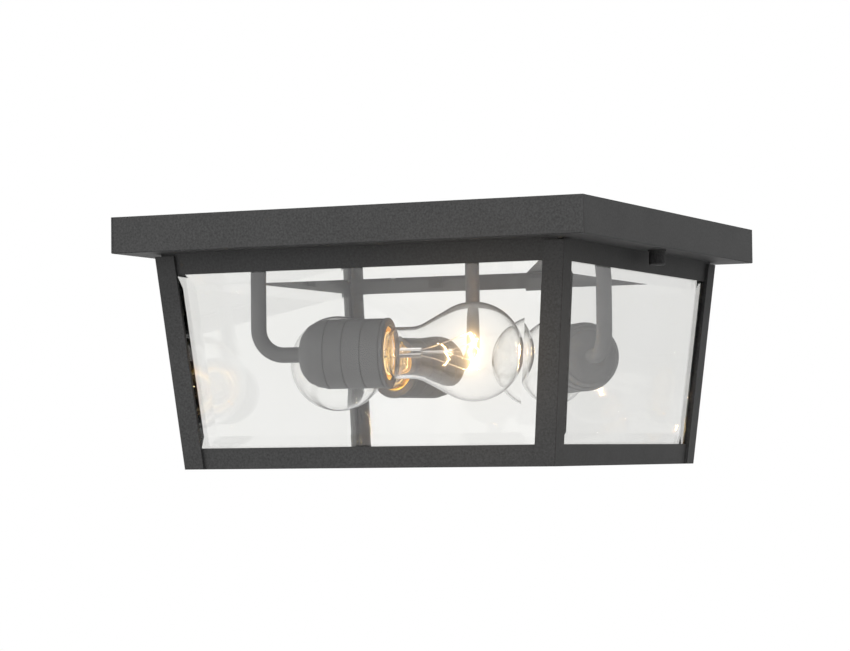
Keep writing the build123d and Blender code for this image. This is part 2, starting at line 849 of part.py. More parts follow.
# Turning points on the canopy floor, where each lead swings round towards its connector
lead_waypoints = {
    "hot_leads": ([(-24, -8)], [(-14, 44)], [(24, -14), (19, 25)]),
    "neutral_leads": ([(-8, -24)], [(-16, 8)], [(46, -10)]),
}
for name, pole in (("hot_leads", 1), ("neutral_leads", -1)):
    with BuildPart() as leads:
        for number in range(3):
            points = lead_points(number, pole, lead_waypoints[name][number])
            bends = [arm_bend, lead_elbow] + [lead_sweep] * (len(points) - 4)
            with BuildLine():
                FilletPolyline(*points, radius=bends)
            with BuildSketch(Plane(origin=points[0], z_dir=points[1] - points[0])):
                Circle(lead_radius)
            sweep()
    keep(leads, name)

with BuildPart() as wire_connectors:
    for pole in (1, -1):
        mouth = hub_way * hub_reach + hub_side * (pole * hub_split / 2) + Vector(0, 0, hub_z)
        connector_plane = Plane(origin=mouth, x_dir=hub_way, z_dir=-hub_side)
        with BuildSketch(connector_plane):
            with BuildLine():
                Polyline(
                    (0, connector_bore),
                    (0, connector_radius),
                    (connector_length, connector_tip_radius),
                    (connector_length, 0),
                    (connector_depth, 0),
                    (connector_depth, connector_bore),
                    close=True,
                )
            make_face()
        revolve(axis=Axis(mouth, hub_way))
keep(wire_connectors, "wire_connectors")
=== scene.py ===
import json
from math import atan2, cos, hypot, pi, radians, sin, tau

import bmesh
import bpy
from mathutils import Matrix, Vector

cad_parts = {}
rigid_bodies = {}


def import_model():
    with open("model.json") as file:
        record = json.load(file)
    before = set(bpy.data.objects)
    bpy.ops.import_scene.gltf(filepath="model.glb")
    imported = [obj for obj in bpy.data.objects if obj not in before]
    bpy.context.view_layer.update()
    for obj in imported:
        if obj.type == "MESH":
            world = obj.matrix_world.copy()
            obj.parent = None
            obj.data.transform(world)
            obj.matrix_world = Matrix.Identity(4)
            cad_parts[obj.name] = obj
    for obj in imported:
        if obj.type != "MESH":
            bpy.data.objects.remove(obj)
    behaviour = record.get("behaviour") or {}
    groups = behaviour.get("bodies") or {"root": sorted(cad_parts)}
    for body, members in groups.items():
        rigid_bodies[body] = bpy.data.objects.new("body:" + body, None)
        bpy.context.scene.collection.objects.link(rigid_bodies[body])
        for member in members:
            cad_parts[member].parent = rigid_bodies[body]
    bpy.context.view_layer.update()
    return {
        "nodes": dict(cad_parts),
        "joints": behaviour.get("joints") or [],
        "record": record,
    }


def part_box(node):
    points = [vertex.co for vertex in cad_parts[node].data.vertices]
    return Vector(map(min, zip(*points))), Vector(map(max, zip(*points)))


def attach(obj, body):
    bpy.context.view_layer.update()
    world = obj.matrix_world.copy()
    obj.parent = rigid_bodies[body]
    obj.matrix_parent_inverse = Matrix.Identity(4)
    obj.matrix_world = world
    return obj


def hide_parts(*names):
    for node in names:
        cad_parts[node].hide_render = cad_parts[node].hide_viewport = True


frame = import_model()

scene = bpy.context.scene
MM = 0.001

# Stations along a lamp's axis, counted from its place on the arms' circle, in millimetres as in the solids
INSULATOR_FRONT = 49.0
BASE_TIP = 52.0
CAP_START = 57.5
CAP_RIM = 79.0
CUP_MOUTH = 80.0
STEM_PRESS = 99.9
STEM_BUTTON = 117.4
GLOBE = 131.9

# Screw caps of the bulbs and the shells they turn in, in millimetres
THREAD_PITCH = 3.629
THREAD_SWING = 0.325
THREAD_TURNS = 4
THREAD_STEPS = 10
THREAD_TOLERANCE = 0.01
THREAD_START = CAP_START + THREAD_PITCH / 2
THREAD_END = THREAD_START + THREAD_TURNS * THREAD_PITCH
SCREW_SIDES = 60
CAP_RADIUS = 12.825
CAP_BORE = 11.9
CAP_EDGE = 0.35
CAP_RIM_WIDTH = 1.0
CAP_RIM_FLARE = 0.3
CAP_RIM_ROLL = 0.1
SHELL_RADIUS = 13.875
SHELL_WALL = 0.6
SHELL_EYE = 7.0
SHELL_MOUTH = 15.7
SHELL_FLARE = 5.0
SHELL_LIP_SETBACK = 1.2
SOLDER_RADIUS = 4.7

# Filament of a bulb and its wires, in millimetres
FILAMENT_TILT = radians(15.0)
FILAMENT_SPREAD = 12.0
FILAMENT_DIP = 3.0
FILAMENT_RUNS = 4
COIL_RADIUS = 0.42
COIL_PITCH = 0.34
COIL_WIRE = 0.1
FEED_RADIUS = 0.3
FEED_LIFT = 0.15
FEED_SPREAD = 2.0
FEED_KNEE = 8.0
FEED_KNEE_SPREAD = 4.0
CLAMP_RADIUS = 0.62
HOLDER_RADIUS = 0.16
HOLDER_FOOT_STEP = 1.0

# Threaded studs and wire connectors, in millimetres
STUD_PITCH = 0.794
STUD_SWING = 0.2
STUD_EDGE = 0.45
STUD_SIDES = 24
STUD_STEPS = 6
HUB_ANGLE = radians(45.0)
HUB_REACH = 58.0
HUB_SPLIT = 31.0
HUB_LEVEL = -7.0
CONNECTOR_LENGTH = 22.0
CONNECTOR_RADIUS = 5.6
CONNECTOR_TIP_RADIUS = 3.2
CONNECTOR_BORE = 2.9
CONNECTOR_DEPTH = 12.0
RIB_COUNT = 18
RIB_WIDTH = 0.32
RIB_DEPTH = 0.3

# Fineness of the meshes: sides, rings, steps, the gap that closes (metres) and the angle that stays sharp
FEED_SIDES = 10
CLAMP_SIDES = 12
HOLDER_SIDES = 8
BEAD_RINGS = 8
COIL_SIDES = 6
COIL_STEPS = 12
FLOOR_SIDES = 96
SAME_POINT = 1e-7
SHARP_EDGE = radians(40.0)

# Camera fitted to the corners of canopy and cage: place in metres, lens and sensor in millimetres
CAMERA_PLACE = Vector((0.7367, -1.65668, -0.14554))
CAMERA_YAW = radians(24.391)
CAMERA_PITCH = radians(2.581)
CAMERA_ROLL = radians(-0.61)
CAMERA_LENS = 122.414
CAMERA_SENSOR = 36.0

# Floor and lights, in metres, and the way to the dimmer far side
FLOOR_RADIUS = 5.0
FLOOR_LEVEL = -2.4
SOFTBOX_WIDTH = 4.0
OVERHEAD_PLACE = Vector((0.0, 0.0, 2.0))
FRONT_PLACE = Vector((-1.24, -2.71, -0.30))
FAR_SIDE = Vector((0.75, 0.65, 0.0)).normalized()
BULB_LIGHT_RADIUS = 0.003

# Strengths of the lights, and of the bloom round the filaments
STUDIO_STRENGTH = 0.95
OVERHEAD_RADIANCE = 7.2
FRONT_RADIANCE = 1.15
INNER_RADIANCE = 10.0
BULB_LIGHT_POWER = 0.16
BULB_LIGHT_COLOUR = (1.0, 0.80, 0.40)
FILAMENT_GLOW = 2400.0
BLOOM_THRESHOLD = 2.0
BLOOM_STRENGTH = 1.0
BLOOM_SIZE = 0.2


class Wire:
    """A shader socket that Python's own operators work on."""

    def __init__(self, finish, socket):
        self.finish = finish
        self.socket = socket

    def math(self, operation, first, second):
        return self.finish.node("ShaderNodeMath", {"operation": operation}, {0: first, 1: second})

    def __add__(self, other):
        return self.math("ADD", self, other)

    def __radd__(self, other):
        return self.math("ADD", other, self)

    def __sub__(self, other):
        return self.math("SUBTRACT", self, other)

    def __rsub__(self, other):
        return self.math("SUBTRACT", other, self)

    def __mul__(self, other):
        return self.math("MULTIPLY", self, other)

    def __rmul__(self, other):
        return self.math("MULTIPLY", other, self)

    def __pow__(self, other):
        return self.math("POWER", self, other)

    def __gt__(self, other):
        return self.math("GREATER_THAN", self, other)

    def __lt__(self, other):
        return self.math("LESS_THAN", self, other)


class Finish:
    """One surface finish: a material, or the surroundings, and the nodes that make it."""

    def __init__(self, owner):
        self.owner = owner
        owner.use_nodes = True
        self.tree = owner.node_tree
        self.tree.nodes.clear()

    @staticmethod
    def pick(sockets, place):
        if isinstance(place, int):
            return sockets[place]
        return next(s for s in sockets if s.name == place and s.enabled)

    def node(self, kind, settings=None, inputs=None, output=0):
        made = self.tree.nodes.new(kind)
        for setting, value in (settings or {}).items():
            if setting == "stops":
                ramp = made.color_ramp
                while len(ramp.elements) < len(value):
                    ramp.elements.new(0.5)
                for element, (position, colour) in zip(ramp.elements, value):
                    element.position = position
                    element.color = (*colour, 1)
            else:
                setattr(made, setting, value)
        for place, value in (inputs or {}).items():
            socket = self.pick(made.inputs, place)
            if isinstance(value, Wire):
                self.tree.links.new(value.socket, socket)
            else:
                socket.default_value = value
        return Wire(self, self.pick(made.outputs, output))

    def place(self):
        """Where a point of the piece is, in metres."""
        return self.node("ShaderNodeTexCoord", output="Object")

    def noise(self, scale, detail, roughness):
        inputs = {"Vector": self.place(), "Scale": scale, "Detail": detail, "Roughness": roughness}
        return self.node("ShaderNodeTexNoise", {}, inputs, "Fac")

    def ramp(self, factor, stops):
        return self.node("ShaderNodeValToRGB", {"stops": stops}, {"Fac": factor}, "Color")

    def blend(self, factor, first, second):
        settings = {"data_type": "RGBA", "blend_type": "MIX"}
        return self.node("ShaderNodeMix", settings, {"Factor": factor, "A": first, "B": second}, "Result")

    def fade(self, value, start, end, low, high):
        inputs = {"Value": value, "From Min": start, "From Max": end, "To Min": low, "To Max": high}
        return self.node("ShaderNodeMapRange", {"interpolation_type": "SMOOTHSTEP"}, inputs, "Result")

    def bump(self, height, strength, distance):
        inputs = {"Height": height, "Strength": strength, "Distance": distance}
        return self.node("ShaderNodeBump", {}, inputs, "Normal")

    def cover(self, **inputs):
        """End the finish in one surface: its sockets are named in small letters with underscores."""
        sockets = {}
        for name, value in inputs.items():
            sockets[name.replace("_", " ").title().replace("Ior", "IOR")] = value
        surface = self.node("ShaderNodeBsdfPrincipled", {}, sockets, "BSDF")
        self.end("ShaderNodeOutputMaterial", surface)

    def end(self, kind, surface):
        last = self.tree.nodes.new(kind)
        self.tree.links.new(surface.socket, last.inputs["Surface"])


def new_finish(name):
    return Finish(bpy.data.materials.new(name))


def textured_powder_coat():
    """Black outdoor powder coat with a fine pebbled skin."""
    coat = new_finish("textured_powder_coat")
    grains = coat.noise(scale=760, detail=2.0, roughness=0.6)
    patches = coat.noise(scale=24, detail=3.0, roughness=0.5)
    tone = grains * 0.8 + patches * 0.2
    coat.cover(
        base_color=coat.ramp(tone, [(0.30, (0.0145, 0.0145, 0.0145)), (0.70, (0.0435, 0.0435, 0.0435))]),
        roughness=0.52 + grains * 0.2,
        specular_ior_level=0.3,
        normal=coat.bump(grains, strength=0.5, distance=0.00016),
    )
    return coat.owner


def bevelled_pane_glass():
    """Clear float glass with the faintest ripple and water tint."""
    glass = new_finish("bevelled_pane_glass")
    ripple = glass.noise(scale=14, detail=1.0, roughness=0.4)
    glass.cover(
        base_color=glass.ramp(ripple, [(0.3, (0.945, 0.945, 0.93)), (0.7, (0.955, 0.955, 0.945))]),
        roughness=0.0,
        ior=1.5,
        transmission_weight=1.0,
        normal=glass.bump(ripple, strength=0.05, distance=0.002),
    )
    return glass.owner


def blown_bulb_glass():
    """Thin blown glass: clear when looked through, grey at its grazing edges, partly for the wall seen
    along its length and partly as painted shade for dark surroundings reflected there.
    """
    glass = new_finish("blown_bulb_glass")
    facing = glass.node("ShaderNodeLayerWeight", {}, {"Blend": 0.5}, "Facing")
    streaks = glass.noise(scale=60, detail=1.0, roughness=0.4)
    # Painted shade: the base colour greys towards the grazing edges, partly for the wall seen along its
    # length, partly standing in for reflected dark surroundings
    edge = (facing ** 5.0) * (0.9 + streaks * 0.2)
    glass.cover(
        base_color=glass.ramp(edge, [(0.0, (1.0, 1.0, 0.995)), (0.6, (0.38, 0.38, 0.38))]),
        roughness=0.0,
        ior=1.36,
        transmission_weight=1.0,
        normal=glass.bump(streaks, strength=0.04, distance=0.001),
    )
    return glass.owner


def plated_steel():
    """Bright zinc plate with faint spangle and rubbed marks."""
    plate = new_finish("plated_steel")
    spangle = plate.noise(scale=260, detail=2.0, roughness=0.5)
    rubs = plate.noise(scale=1900, detail=1.0, roughness=0.5)
    plate.cover(
        base_color=plate.ramp(spangle, [(0.3, (0.50, 0.51, 0.53)), (0.7, (0.68, 0.68, 0.67))]),
        metallic=1.0,
        roughness=0.26 + rubs * 0.2,
        normal=plate.bump(rubs, strength=0.2, distance=0.00004),
    )
    return plate.owner


def green_ground_paint():
    """Green chromate over steel, rubbed thin in spots."""
    paint = new_finish("green_ground_paint")
    wear = paint.noise(scale=900, detail=2.0, roughness=0.6)
    paint.cover(
        base_color=paint.ramp(wear, [(0.35, (0.012, 0.16, 0.05)), (0.75, (0.05, 0.32, 0.12))]),
        metallic=0.6,
        roughness=0.3 + wear * 0.2,
        normal=paint.bump(wear, strength=0.2, distance=0.00004),
    )
    return paint.owner


def glazed_porcelain():
    """Off-white glazed socket body with pin specks."""
    glaze = new_finish("glazed_porcelain")
    clouds = glaze.noise(scale=120, detail=2.0, roughness=0.5)
    specks = glaze.noise(scale=2200, detail=1.0, roughness=0.5)
    body = glaze.ramp(clouds, [(0.3, (0.70, 0.66, 0.58)), (0.7, (0.80, 0.77, 0.70))])
    glaze.cover(
        base_color=glaze.blend(specks > 0.7, body, (0.42, 0.36, 0.28, 1)),
        roughness=0.22 + clouds * 0.12,
        coat_weight=0.5,
        coat_roughness=0.1,
        normal=glaze.bump(clouds, strength=0.12, distance=0.0004),
    )
    return glaze.owner


def rolled_metal(name, dark, bright, roughness):
    """Thin rolled sheet, brass or aluminium, with tarnish clouds and a drawn grain."""
    metal = new_finish(name)
    clouds = metal.noise(scale=170, detail=3.0, roughness=0.55)
    grain = metal.noise(scale=2400, detail=1.0, roughness=0.5)
    metal.cover(
        base_color=metal.ramp(clouds, [(0.3, dark), (0.7, bright)]),
        metallic=1.0,
        roughness=roughness + clouds * 0.14,
        normal=metal.bump(grain, strength=0.15, distance=0.00003),
    )
    return metal.owner


def lead_jacket(name, dark, bright):
    """Extruded wire insulation with a faint drawn skin."""
    jacket = new_finish(name)
    skin = jacket.noise(scale=1100, detail=2.0, roughness=0.5)
    jacket.cover(
        base_color=jacket.ramp(skin, [(0.3, dark), (0.7, bright)]),
        roughness=0.38 + skin * 0.2,
        normal=jacket.bump(skin, strength=0.2, distance=0.00005),
    )
    return jacket.owner


def connector_plastic():
    """Orange moulded plastic, a little mottled."""
    plastic = new_finish("connector_plastic")
    mottle = plastic.noise(scale=420, detail=2.0, roughness=0.5)
    plastic.cover(
        base_color=plastic.ramp(mottle, [(0.3, (0.62, 0.16, 0.02)), (0.7, (0.80, 0.26, 0.04))]),
        roughness=0.34 + mottle * 0.16,
        normal=plastic.bump(mottle, strength=0.2, distance=0.00006),
    )
    return plastic.owner


def washer_rubber():
    """Black sealing rubber with a grey haze."""
    rubber = new_finish("washer_rubber")
    haze = rubber.noise(scale=700, detail=3.0, roughness=0.6)
    rubber.cover(
        base_color=rubber.ramp(haze, [(0.3, (0.012, 0.012, 0.012)), (0.75, (0.045, 0.044, 0.042))]),
        roughness=0.62 + haze * 0.25,
        normal=rubber.bump(haze, strength=0.3, distance=0.00006),
    )
    return rubber.owner


def cap_button(places):
    """Black vitreous insulator of a bulb's foot, with a solder tip on its middle."""
    foot = new_finish("cap_button")
    spot = foot.place()
    near = None
    for middle in places:
        gap = foot.node("ShaderNodeVectorMath", {"operation": "DISTANCE"}, {0: spot, 1: middle}, "Value")
        tip = gap < SOLDER_RADIUS * MM
        near = tip if near is None else near + tip
    clouds = foot.noise(scale=600, detail=2.0, roughness=0.5)
    glass = foot.ramp(clouds, [(0.3, (0.008, 0.008, 0.012)), (0.7, (0.028, 0.026, 0.034))])
    solder = foot.ramp(clouds, [(0.3, (0.42, 0.42, 0.43)), (0.7, (0.66, 0.66, 0.65))])
    foot.cover(
        base_color=foot.blend(near, glass, solder),
        metallic=near,
        roughness=0.18 + clouds * 0.2 + near * 0.1,
        normal=foot.bump(clouds, strength=0.2, distance=0.0001),
    )
    return foot.owner


def glowing_tungsten():
    """Tungsten wire at white heat, a little cooler in spots."""
    wire = new_finish("glowing_tungsten")
    heat = wire.noise(scale=700, detail=1.0, roughness=0.5)
    wire.cover(
        base_color=wire.ramp(heat, [(0.3, (0.30, 0.28, 0.26)), (0.7, (0.40, 0.38, 0.36))]),
        metallic=1.0,
        roughness=0.35 + heat * 0.1,
        emission_color=wire.ramp(heat, [(0.3, (1.0, 0.62, 0.28)), (0.7, (1.0, 0.72, 0.40))]),
        emission_strength=FILAMENT_GLOW,
    )
    return wire.owner


def nickel_wire():
    """Drawn nickel of the wires that lead to a filament and hold it up."""
    wire = new_finish("nickel_wire")
    draw = wire.noise(scale=3000, detail=1.0, roughness=0.5)
    wire.cover(
        base_color=wire.ramp(draw, [(0.3, (0.52, 0.46, 0.38)), (0.7, (0.72, 0.66, 0.56))]),
        metallic=1.0,
        roughness=0.2 + draw * 0.15,
    )
    return wire.owner


# Lamps: each one's axis comes from the joint that unscrews its bulb
def lamp_place(number):
    """Matrix whose local z runs out along a lamp's axis from its arm, and whose local x points up."""
    joint = next(j for j in frame["joints"] if j["name"] == f"bulb_{number}_unscrew")
    along = Vector(joint["axis"]).normalized()
    up = Vector((0, 0, 1))
    heading = Matrix((up, along.cross(up), along)).transposed().to_4x4()
    return Matrix.Translation(Vector(joint["pos_m"]) - along * BASE_TIP * MM) @ heading


lamp_places = {number: lamp_place(number) for number in (1, 2, 3)}
base_tips = [place @ Vector((0, 0, BASE_TIP * MM)) for place in lamp_places.values()]

# Finishes of the solids, by the record's slots
finishes = {
    "powder_coat": textured_powder_coat(),
    "pane_glass": bevelled_pane_glass(),
    "zinc_steel": plated_steel(),
    "green_screw": green_ground_paint(),
    "insulator": glazed_porcelain(),
    "socket_brass": rolled_metal("rolled_brass", (0.80, 0.57, 0.16), (0.92, 0.69, 0.24), roughness=0.6),
    "bulb_metal": rolled_metal("rolled_aluminium", (0.80, 0.70, 0.50), (0.86, 0.77, 0.58), roughness=0.55),
    "hot_lead": lead_jacket("hot_lead_jacket", (0.010, 0.010, 0.011), (0.032, 0.032, 0.034)),
    "neutral_lead": lead_jacket("neutral_lead_jacket", (0.58, 0.57, 0.53), (0.74, 0.73, 0.69)),
    "connector": connector_plastic(),
    "seal_rubber": washer_rubber(),
    "bulb_base": cap_button(base_tips),
    "bulb_glass": blown_bulb_glass(),
    "filament": glowing_tungsten(),
}
nickel = nickel_wire()
for subpart in frame["record"]["subparts"]:
    solid = frame["nodes"][subpart["node"]]
    solid.data.materials.clear()
    solid.data.materials.append(finishes[subpart["material_slot"]])


# Shapes of new pieces
def turn(section, sides, wall, cuts):
    """Turn a closed section of (station, radius) points about the z axis; one wall is cut for a thread."""
    shape = bmesh.new()
    corners = [shape.verts.new((radius * MM, 0, station * MM)) for station, radius in section]
    pairs = zip(corners, corners[1:] + corners[:1])
    edges = [shape.edges.new(pair) for pair in pairs if any(corner.co.x for corner in pair)]
    bmesh.ops.subdivide_edges(shape, edges=[edges[wall]], cuts=cuts)
    bmesh.ops.spin(shape, geom=shape.verts[:] + shape.edges[:], cent=(0, 0, 0), axis=(0, 0, 1),
                   angle=tau, steps=sides, use_merge=True)
    bmesh.ops.remove_doubles(shape, verts=shape.verts, dist=SAME_POINT)
    bmesh.ops.recalc_face_normals(shape, faces=shape.faces)
    return shape


def roll_thread(shape, radius, span, pitch, swing):
    """Press a right-handed screw wave into the wall that has this radius, between two stations."""
    for vert in shape.verts:
        station = vert.co.z / MM
        reach = hypot(vert.co.x, vert.co.y) / MM
        if not span[0] < station < span[1] or abs(reach - radius) > THREAD_TOLERANCE:
            continue
        fade = min(1, (station - span[0]) / pitch * 2, (span[1] - station) / pitch * 2)
        phase = (station - span[0]) / pitch - atan2(vert.co.y, vert.co.x) / tau
        grown = (radius + swing * fade * sin(tau * phase)) / reach
        vert.co.x *= grown
        vert.co.y *= grown


def aimed(place, way):
    """Matrix that puts a shape at a place and turns its z axis along a way."""
    return Matrix.Translation(place) @ way.to_track_quat("Z", "Y").to_matrix().to_4x4()


def add(whole, shape):
    """Put a finished shape into a larger one."""
    mesh = bpy.data.meshes.new("added_shape")
    shape.to_mesh(mesh)
    shape.free()
    whole.from_mesh(mesh)
    bpy.data.meshes.remove(mesh)


def bead(shape, middle, radius, sides):
    bmesh.ops.create_uvsphere(shape, u_segments=sides, v_segments=BEAD_RINGS, radius=radius * MM,
                              matrix=Matrix.Translation(middle * MM))


def rod(shape, start, end, radius, sides):
    """A straight wire between two points, in millimetres, with a round bead at its end."""
    run = (end - start) * MM
    bmesh.ops.create_cone(shape, cap_ends=True, segments=sides, radius1=radius * MM, radius2=radius * MM,
                          depth=run.length, matrix=aimed((start + end) / 2 * MM, run))
    bead(shape, end, radius, sides)


def wind(shape, start, end, radius, wire, pitch):
    """A close coil of fine wire between two points, in millimetres."""
    run = (end - start) * MM
    turns = round((end - start).length / pitch)
    steps = turns * COIL_STEPS
    coil = bmesh.new()
    edge_on = Matrix.Rotation(pi / 2, 4, "X")
    bmesh.ops.create_circle(coil, segments=COIL_SIDES, radius=wire * MM,
                            matrix=Matrix.Translation((radius * MM, 0, 0)) @ edge_on)
    bmesh.ops.spin(coil, geom=coil.verts[:] + coil.edges[:], cent=(0, 0, 0), axis=(0, 0, 1),
                   angle=tau * turns, steps=steps, dvec=(0, 0, run.length / steps))
    bmesh.ops.holes_fill(coil, edges=[edge for edge in coil.edges if edge.is_boundary], sides=0)
    bmesh.ops.recalc_face_normals(coil, faces=coil.faces)
    coil.transform(aimed(start * MM, run))
    add(shape, coil)


def settle(shape, name, body, slot, place=None, replaced=(), finish=None):
    """Make a shape one of the light's pieces: smooth but for its sharp edges, finished, and on its body."""
    if place:
        shape.transform(place)
    mesh = bpy.data.meshes.new(name)
    shape.to_mesh(mesh)
    shape.free()
    mesh.shade_smooth()
    mesh.set_sharp_from_angle(angle=SHARP_EDGE)
    mesh.materials.append(finish or finishes[slot])
    piece = bpy.data.objects.new(name, mesh)
    scene.collection.objects.link(piece)
    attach(piece, body)
    if replaced:
        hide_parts(*replaced)
    return piece


# Screw caps of the bulbs and the shells they turn in, with their rolled threads
def bulb_cap():
    rim = CAP_RADIUS + CAP_RIM_FLARE
    section = [
        (CAP_START, CAP_BORE),
        (CAP_START, CAP_RADIUS - CAP_EDGE),
        (CAP_START + CAP_EDGE, CAP_RADIUS),
        (THREAD_START, CAP_RADIUS),
        (THREAD_END, CAP_RADIUS),
        (CAP_RIM - CAP_RIM_WIDTH, CAP_RADIUS),
        (CAP_RIM - CAP_RIM_ROLL, rim),
        (CAP_RIM, rim - CAP_RIM_ROLL),
        (CAP_RIM, CAP_BORE + CAP_RIM_FLARE),
        (CAP_RIM - CAP_RIM_WIDTH, CAP_BORE),
    ]
    threaded_wall = 3
    cap = turn(section, SCREW_SIDES, threaded_wall, THREAD_TURNS * THREAD_STEPS - 1)
    roll_thread(cap, CAP_RADIUS, (THREAD_START, THREAD_END), THREAD_PITCH, THREAD_SWING)
    return cap


def screw_shell():
    mouth = CAP_RIM - CAP_RIM_WIDTH
    flare = mouth - SHELL_FLARE
    lip = CUP_MOUTH - SHELL_LIP_SETBACK
    floor = INSULATOR_FRONT + SHELL_WALL
    section = [
        (INSULATOR_FRONT, SHELL_EYE),
        (INSULATOR_FRONT, SHELL_RADIUS + SHELL_WALL),
        (flare, SHELL_RADIUS + SHELL_WALL),
        (mouth, SHELL_MOUTH + SHELL_WALL),
        (lip, SHELL_MOUTH + SHELL_WALL),
        (lip, SHELL_MOUTH),
        (mouth, SHELL_MOUTH),
        (flare, SHELL_RADIUS),
        (THREAD_END - THREAD_PITCH / 2, SHELL_RADIUS),
        (THREAD_START, SHELL_RADIUS),
        (floor, SHELL_RADIUS),
        (floor, SHELL_EYE),
    ]
    threaded_wall = 8
    shell = turn(section, SCREW_SIDES, threaded_wall, THREAD_TURNS * THREAD_STEPS - 1)
    roll_thread(shell, SHELL_RADIUS, (THREAD_START, THREAD_END), THREAD_PITCH, THREAD_SWING)
    return shell


# Filament of a bulb, the wires that feed it and the wires that hold it up
def mount_point(station, across):
    """A point in the plane of the filament, by its station and its distance from the lamp's axis."""
    return Vector((across * cos(FILAMENT_TILT), -across * sin(FILAMENT_TILT), station))


def filament_corners():
    """The filament's zigzag, from one feed wire to the other."""
    corners = []
    for row in range(FILAMENT_RUNS + 1):
        station = GLOBE - FILAMENT_DIP * (row % 2 == 0)
        corners.append(mount_point(station, FILAMENT_SPREAD * (1 - 2 * row / FILAMENT_RUNS)))
    return corners


def filament_coil():
    corners = filament_corners()
    coil = bmesh.new()
    for start, end in zip(corners, corners[1:]):
        wind(coil, start, end, COIL_RADIUS, COIL_WIRE, COIL_PITCH)
    return coil


def filament_wires():
    corners = filament_corners()
    wires = bmesh.new()
    for side, end in ((1, corners[0]), (-1, corners[-1])):
        root = mount_point(STEM_PRESS + FEED_LIFT, FEED_SPREAD * side)
        knee = mount_point(STEM_PRESS + FEED_KNEE, FEED_KNEE_SPREAD * side)
        rod(wires, root, knee, FEED_RADIUS, FEED_SIDES)
        rod(wires, knee, end, FEED_RADIUS, FEED_SIDES)
        bead(wires, end, CLAMP_RADIUS, CLAMP_SIDES)
    for step, corner in enumerate(corners[1:-1]):
        foot = mount_point(STEM_BUTTON, HOLDER_FOOT_STEP * (1 - step))
        rod(wires, foot, corner, HOLDER_RADIUS, HOLDER_SIDES)
    return wires


def dress_lamp(number, place):
    """A lamp's threads, filament and wires, in place of its plain solids."""
    bulb = f"bulb_{number}_turn"
    settle(bulb_cap(), f"bulb_cap_thread_{number}", bulb, "bulb_metal", place, [f"bulb_cap_{number}"])
    filament = f"filament_coil_{number}"
    coil = settle(filament_coil(), filament, bulb, "filament", place, [f"bulb_filament_{number}"])
    coil.visible_diffuse = False
    settle(filament_wires(), f"filament_wires_{number}", bulb, "filament", place, finish=nickel)
    shell = f"screw_shell_thread_{number}"
    settle(screw_shell(), shell, "fixture", "socket_brass", place, [f"screw_shell_{number}"])


for number, place in lamp_places.items():
    dress_lamp(number, place)


# Studs of the crossbar, threaded from the ceiling down into the cap nuts
def threaded_studs():
    low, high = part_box("crossbar_studs")
    length = (high.z - low.z) / MM
    radius = (high.y - low.y) / 2 / MM
    root = radius - STUD_SWING
    section = [
        (0, 0),
        (0, radius - STUD_EDGE),
        (STUD_EDGE, root),
        (length - STUD_EDGE, root),
        (length, radius - STUD_EDGE),
        (length, 0),
    ]
    threaded_wall = 2
    upside_down = Matrix.Rotation(pi, 4, "X")
    studs = bmesh.new()
    for x in (low.x + radius * MM, high.x - radius * MM):
        stud = turn(section, STUD_SIDES, threaded_wall, round(length / STUD_PITCH * STUD_STEPS))
        roll_thread(stud, root, (STUD_EDGE, length - STUD_EDGE), STUD_PITCH, STUD_SWING)
        stud.transform(Matrix.Translation((x, (low.y + high.y) / 2, high.z)) @ upside_down)
        add(studs, stud)
    return studs


settle(threaded_studs(), "threaded_studs", "fixture", "zinc_steel", replaced=["crossbar_studs"])


# Wire connectors with finger ribs
def ribbed_connectors():
    way = Vector((cos(HUB_ANGLE), sin(HUB_ANGLE), 0))
    across = Vector((-way.y, way.x, 0))
    level = Vector((0, 0, HUB_LEVEL))
    shapes = bmesh.new()
    for pole in (1, -1):
        mouth = way * HUB_REACH + across * pole * HUB_SPLIT / 2 + level
        middle = mouth + way * CONNECTOR_LENGTH / 2
        made = bmesh.ops.create_cone(shapes, cap_ends=True, segments=RIB_COUNT,
                                     radius1=CONNECTOR_RADIUS * MM, radius2=CONNECTOR_TIP_RADIUS * MM,
                                     depth=CONNECTOR_LENGTH * MM, matrix=aimed(middle * MM, way))
        faces = {face for vert in made["verts"] for face in vert.link_faces}
        ribs = [face for face in faces if len(face.verts) == 4]
        mouth_face = max((face for face in faces if len(face.verts) > 4), key=lambda face: face.calc_area())
        bmesh.ops.inset_individual(shapes, faces=ribs, thickness=RIB_WIDTH * MM, depth=-RIB_DEPTH * MM)
        rim_width = CONNECTOR_RADIUS - CONNECTOR_BORE
        bmesh.ops.inset_region(shapes, faces=[mouth_face], thickness=rim_width * MM)
        bore = bmesh.ops.extrude_discrete_faces(shapes, faces=[mouth_face])["faces"]
        bmesh.ops.translate(shapes, verts=bore[0].verts, vec=way * CONNECTOR_DEPTH * MM)
    bmesh.ops.recalc_face_normals(shapes, faces=shapes.faces)
    return shapes


settle(ribbed_connectors(), "ribbed_connectors", "fixture", "connector", replaced=["wire_connectors"])


# Camera at the photograph's viewing angle
def stand_camera():
    up = Vector((0, 0, 1))
    ahead = Vector((-sin(CAMERA_YAW), cos(CAMERA_YAW), 0))
    right = Vector((cos(CAMERA_YAW), sin(CAMERA_YAW), 0))
    sight = ahead * cos(CAMERA_PITCH) + up * sin(CAMERA_PITCH)
    rise = up * cos(CAMERA_PITCH) - ahead * sin(CAMERA_PITCH)
    across = right * cos(CAMERA_ROLL) + rise * sin(CAMERA_ROLL)
    crown = rise * cos(CAMERA_ROLL) - right * sin(CAMERA_ROLL)
    lens = bpy.data.cameras.new("porch_camera")
    lens.sensor_fit = "HORIZONTAL"
    lens.sensor_width = CAMERA_SENSOR
    lens.lens = CAMERA_LENS
    camera = bpy.data.objects.new("porch_camera", lens)
    camera.matrix_world = Matrix((across, crown, -sight)).transposed().to_4x4()
    camera.matrix_world.translation = CAMERA_PLACE
    scene.collection.objects.link(camera)
    scene.camera = camera


stand_camera()


